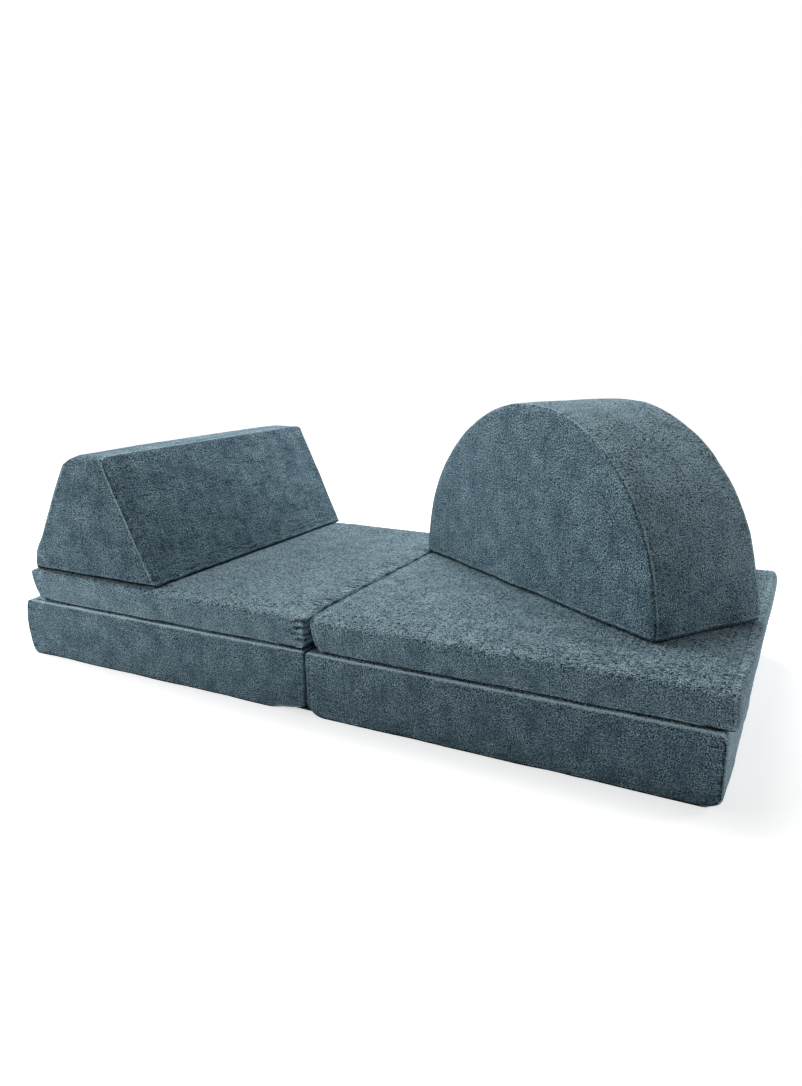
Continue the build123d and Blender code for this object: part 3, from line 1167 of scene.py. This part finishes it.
# %% [markdown]
# ## The half-moon
# A half-disc of foam with a curved band round it. The same box of cloth is bent into it: the box's
# two sides and its top together become the half circle, and its front and back the two faces. A
# polar fan of triangles would crowd at its centre, and this bend keeps the grid even.

# %% The shape of the half-moon
moon_crown = 1.5 * mm
face_radius = 5 * mm
moon_toe = 14 * mm
moon_foot = 5 * mm
moon_under = 13 * mm
face_swell = 4 * mm
moon_flare = 8 * mm
far_away = 1.0


def half_disc(flat):
    """Bends the box -1 to 1 by 0 to 1 into a half disc: the share of the radius, and the angle."""
    x, z = flat[:, 0], flat[:, 2]
    share = np.maximum(np.maximum(np.abs(x), z), 1e-6)
    beside = np.where(x > 0, z / share, 4 - z / share)
    run = np.where(np.abs(x) >= z, beside, 2 - x / share)
    return share, run * math.pi / 4


def drawn_in(p, inner, radii):
    """Draws each point in to an ellipse about its inner point, where it lies outside of it."""
    away = (p - inner) / radii
    length = np.maximum(np.linalg.norm(away, axis=1), 1)[:, None]
    return inner + radii * away / length


def moon_shape(flat):
    """The half-moon: drawn in its own frame, front face at y = 0 and foot at z = 0, then placed."""
    share, angle = half_disc(flat)
    r, y = share * moon_radius, flat[:, 1].copy()
    # The edge between the faces and the band
    inner_r = np.minimum(r, moon_radius - face_radius)
    inner_y = np.clip(y, face_radius, moon_thickness - face_radius)
    r, y = drawn_in(np.stack([r, y], 1), np.stack([inner_r, inner_y], 1), face_radius).T
    # The band's crown, and faces that swell a little
    deep = 2 * flat[:, 1] / moon_thickness - 1
    r = r + moon_crown * (1 - deep**2) * share**6
    # At the right the back of the band stands out just above its foot
    r = r + moon_flare * ease((0.35 - np.sin(angle)) / 0.35) * (flat[:, 0] > 0) * ease(deep) * share**6
    on_face = np.abs(deep) > 1 - 1e-4
    y = y + face_swell * np.sign(deep) * on_face * (1 - share**2) * np.sin(angle)
    out = np.stack([r * np.cos(angle), y, r * np.sin(angle)], 1)
    # The rounded foot
    reach = moon_radius + moon_crown * (1 - deep**2)
    radii = np.array([moon_toe, moon_under, moon_foot])
    inner = out.copy()
    inner[:, 0] = np.clip(out[:, 0], moon_toe - reach, reach - moon_toe)
    inner[:, 1] = np.clip(out[:, 1], moon_under, moon_thickness - moon_under)
    inner[:, 2] = np.maximum(out[:, 2], moon_foot)
    low_part = (out[:, 2] < moon_foot)[:, None]
    return from_moon(np.where(low_part, drawn_in(out, inner, radii), out))


def moon_measure(flat):
    """Seams of the half-moon are measured along its band, across it, and up from its foot.

    Points well inside a face are set far away from the seams along its edge."""
    share, angle = half_disc(flat)
    height = share * moon_radius * np.sin(angle)
    run = share * angle * moon_radius
    inside = share < 0.97
    return np.stack([run, flat[:, 1] + inside * far_away, height], 1)


def unroll_moon(flat, shaped, corner, side, low, high):
    """Cloth coordinates of the half-moon: flat faces, and the band unrolled along its arc."""
    share, angle = half_disc(flat)
    p = to_moon(shaped)[corner]
    uv = np.stack([p[:, 0], p[:, 2]], 1)
    band = (side == 0) | (side == 3) | (side == 5)
    uv[band] = np.stack([p[band, 1] + 3.0, angle[corner][band] * moon_radius], 1)
    under = side == 2
    uv[under] = p[under][:, :2] + 6.0
    return uv


def middle(name):
    """The middle of a CAD node's box."""
    a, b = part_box(name)
    return (a + b) / 2


moon_zip_half = 310 * mm
moon_zip_middle = to_moon(np.array([middle("half_moon_zip")]))[0, 0]
moon_zip_floor = moon_thickness - 8 * mm
moon_zip_foot = 11.5 * mm
moon_zip_top = 20.5 * mm


def moon_pocket(flat, places):
    """Sinks the cloth behind the half-moon's zip."""
    local = to_moon(places)
    x, y, z = local.T
    beside = np.abs(x - moon_zip_middle) < moon_zip_half + pocket_side
    inside = beside & (y > moon_thickness - pocket_reach) & (z > moon_zip_foot) & (z < moon_zip_top)
    local[inside, 1] = np.minimum(local[inside, 1], moon_zip_floor)
    return from_moon(local)


# %% Half-moon
face_seam = 4 * mm
under_seam = 8 * mm
# The half-moon's seams get painted highlights and painted shade, and its faces are painted darker than its
# band
face_look = dict(depth=0.6, light=0.5, dark=0.4, painted_panel_light=-0.12)
moon_seams = [
    seam(1, face_seam, 1, **face_look),
    seam(1, moon_thickness - face_seam, -1, **face_look),
    seam(2, under_seam, 1, depth=1.0, light=0.4, dark=0.6),
]
arc_step = fine_step / (moon_radius * math.pi / 4)
face_line = 6 * mm
rim_loops = [0.005 * i for i in range(1, 12)]
moon_along = [
    list(np.linspace(-1, 1, 2 * round(1 / arc_step) + 1)),
    stations(0, moon_thickness, fine_step, [face_line, moon_thickness - face_line]),
    [0.0] + rim_loops + list(np.linspace(0.065, 1, round(0.935 / arc_step) + 1)),
]
crease_ends = from_moon(np.array([[-150, -1, 330], [-190, -1, 300]]) * mm) / mm
# The half-moon's whole cover is painted a little lighter, and lighter still where it faces up
cushion(
    "half_moon", (-1.0, 0.0, 0.0), (1.0, moon_thickness, 1.0), moon_shape, moon_seams,
    flat_on(cushion_foot, 1.0),
    ("front_face", "back_face", "band", "underside"),
    67,
    moon_along,
    moon_pocket,
    [(tuple(crease_ends[0]), tuple(crease_ends[1]), 3.0, 1.5)],
    unroll=unroll_moon,
    measure=moon_measure,
    crush_and_top_shading=(0.4, 0.8),
    tone=0.08,
    painted_top_light=0.12,
)

# %% [markdown]
# ## The cloth hinges
# The two halves of a mattress are held together by a strip of the cover's own cloth along one edge:
# at the foot of the base, and at the top of the seat. The strip is sewn into both covers, so it lies
# under their edges. Here it is drawn as a strip across the fold, a little lower in the middle.


# %% Cloth hinges
hinge_thickness = 1.4 * mm
hinge_wave = 0.3 * mm


def hinge_strip(name, centre_x, half_width, top_z, dip, inset):
    """A strip of cloth across a fold between two bodies, a little lower in the middle."""
    low = (centre_x - half_width, front_y + inset, top_z - hinge_thickness)
    high = (centre_x + half_width, back_y - inset, top_z)
    mesh, flat = cloth_box(name, even(low, high, (24, 71, 1)))
    write_cloth(mesh, unroll_box(flat, flat, corners(mesh), panel_sides(mesh), low, high))
    share = (flat[:, 0] - centre_x) / half_width
    flat[:, 2] -= dip * (1 - share**2) + hinge_wave * wavy(flat, 5, 50 * mm, 25 * mm)
    set_vertices(mesh, flat)
    mesh.polygons.foreach_set("use_smooth", [True] * len(mesh.polygons))
    obj = shown(name, mesh, cover_cloth)
    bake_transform(obj)
    print(name, "is", round(2 * half_width / mm), "mm wide")


hinge_strip("base_hinge_cloth", 0.0, 34 * mm, 3.6 * mm, dip=0.0, inset=12 * mm)
hinge_top = seat_top - 5 * mm
hinge_strip("seat_hinge_cloth", seat_fold_x, 22 * mm, hinge_top, dip=2 * mm, inset=30 * mm)

# %% [markdown]
# ## The zips
# A cover like this closes with a coil zip low on the back: two woven tapes, a coil of teeth along
# the edge of each, and a slider without a pull tab, so that children can't open it. The teeth are
# drawn a little coarser than real ones, 2.5 mm apart, so that they can be told apart.

# %% Tapes, teeth and slider
tooth_pitch = 2.5 * mm
tooth_size = np.array([1.3, 1.2, 2.6]) * mm
tape_height = 3.4 * mm
tape_thickness = 0.9 * mm
tape_gap = 1.2 * mm
tape_edge = 0.3 * mm
tooth_out = tape_thickness * 0.7
tooth_shift = 0.5 * mm
# The slider's two plates, the post between them and the ridge outside: middle, size, bevel, segments
slider_blocks = (
    ((0, 0, 0), (13.0, 1.4, 7.4), 0.6, 3),
    ((0, 2.6, 0), (13.0, 1.3, 6.6), 0.6, 3),
    ((-4.6, 1.3, 0), (2.4, 2.4, 2.2), 0.4, 2),
    ((0, 3.9, 0), (7.0, 1.1, 2.2), 0.5, 3),
)


def block(bm, centre, size, bevel=0.0, segments=2):
    """A box with bevelled edges, added to a bmesh."""
    made = bmesh.ops.create_cube(bm, size=1)["verts"]
    bmesh.ops.scale(bm, vec=size, verts=made)
    bmesh.ops.translate(bm, vec=centre, verts=made)
    if bevel:
        edges = list({e for v in made for e in v.link_edges})
        bmesh.ops.bevel(
            bm, geom=edges, offset=bevel, segments=segments, profile=0.5, affect="EDGES", material=-1
        )


def zip_piece(name, bm, place, material, body, replaced=None):
    """Makes a zip's piece from a bmesh drawn along X with its outside to +Y, put in its place."""
    bmesh.ops.transform(bm, matrix=place, verts=bm.verts)
    obj = piece(name, bm, material)
    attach(obj, body)
    if replaced:
        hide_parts(replaced)


def zip_closure(body, place, length, slider_place):
    """The tapes, the teeth and the slider of one cover."""
    closure, slider = body + "_zip", body + "_zip_slider"
    bm = bmesh.new()
    for sign in (1, -1):
        centre = (0, 0, sign * (tape_gap + tape_height) / 2)
        block(bm, centre, (length, tape_thickness, tape_height), tape_edge)
    zip_piece(closure + "_tapes", bm, place, zip_tape, body, closure)
    bm = bmesh.new()
    count = int(length / tooth_pitch)
    for i in range(count):
        sign = 1 if i % 2 else -1
        x = (i + 0.5) * length / count - length / 2
        block(bm, (x, tooth_out, sign * tooth_shift), tooth_size)
    zip_piece(closure + "_teeth", bm, place, zip_coil, body)
    bm = bmesh.new()
    for centre, size, bevel, segments in slider_blocks:
        block(bm, np.array(centre) * mm, np.array(size) * mm, bevel * mm, segments)
    zip_piece(slider + "_body", bm, slider_place, zip_metal, body + "_slider", slider)


zip_skin = 0.5 * mm
moon_zip_out = 1.5 * mm
moon_zip_level = 16 * mm
for body in ("base_left", "base_right", "seat_left", "seat_right", "bolster"):
    a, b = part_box(body + "_zip")
    behind = a.y + zip_skin + zip_moves_back.get(body, 0)
    at = Vector(((a.x + b.x) / 2, behind, (a.z + b.z) / 2))
    slider = middle(body + "_zip_slider")
    slider_at = Vector((slider.x, behind, slider.z))
    turned = Matrix.Rotation(math.pi if slider.x < at.x else 0, 4, "Y")
    zip_closure(body, Matrix.Translation(at), b.x - a.x, Matrix.Translation(slider_at) @ turned)

moon_basis = Matrix.Rotation(moon_turn, 4, "Z")
moon_at = from_moon(np.array([[moon_zip_middle, moon_zip_floor + moon_zip_out, moon_zip_level]]))[0]
slider_local = to_moon(np.array([middle("half_moon_zip_slider")]))[0]
slider_local[1] = moon_zip_floor + moon_zip_out
slider_at = from_moon(slider_local[None, :])[0]
zip_closure(
    "half_moon",
    Matrix.Translation(moon_at) @ moon_basis,
    2 * moon_zip_half,
    Matrix.Translation(slider_at) @ moon_basis,
)

# %% [markdown]
# ## Room for the fold
# The half-moon's toe stands a little past the fold, as in the picture. When the seat folds up, its
# left half presses on that toe and the foam gives way. Here each piece of the half-moon only gets a
# mesh of its own.

# %% Each piece of the half-moon gets its own mesh
for part in ("cover", "foam_block", "zip_tapes", "zip_teeth", "zip_slider_body"):
    obj = bpy.data.objects["half_moon_" + part]
    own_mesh(obj)
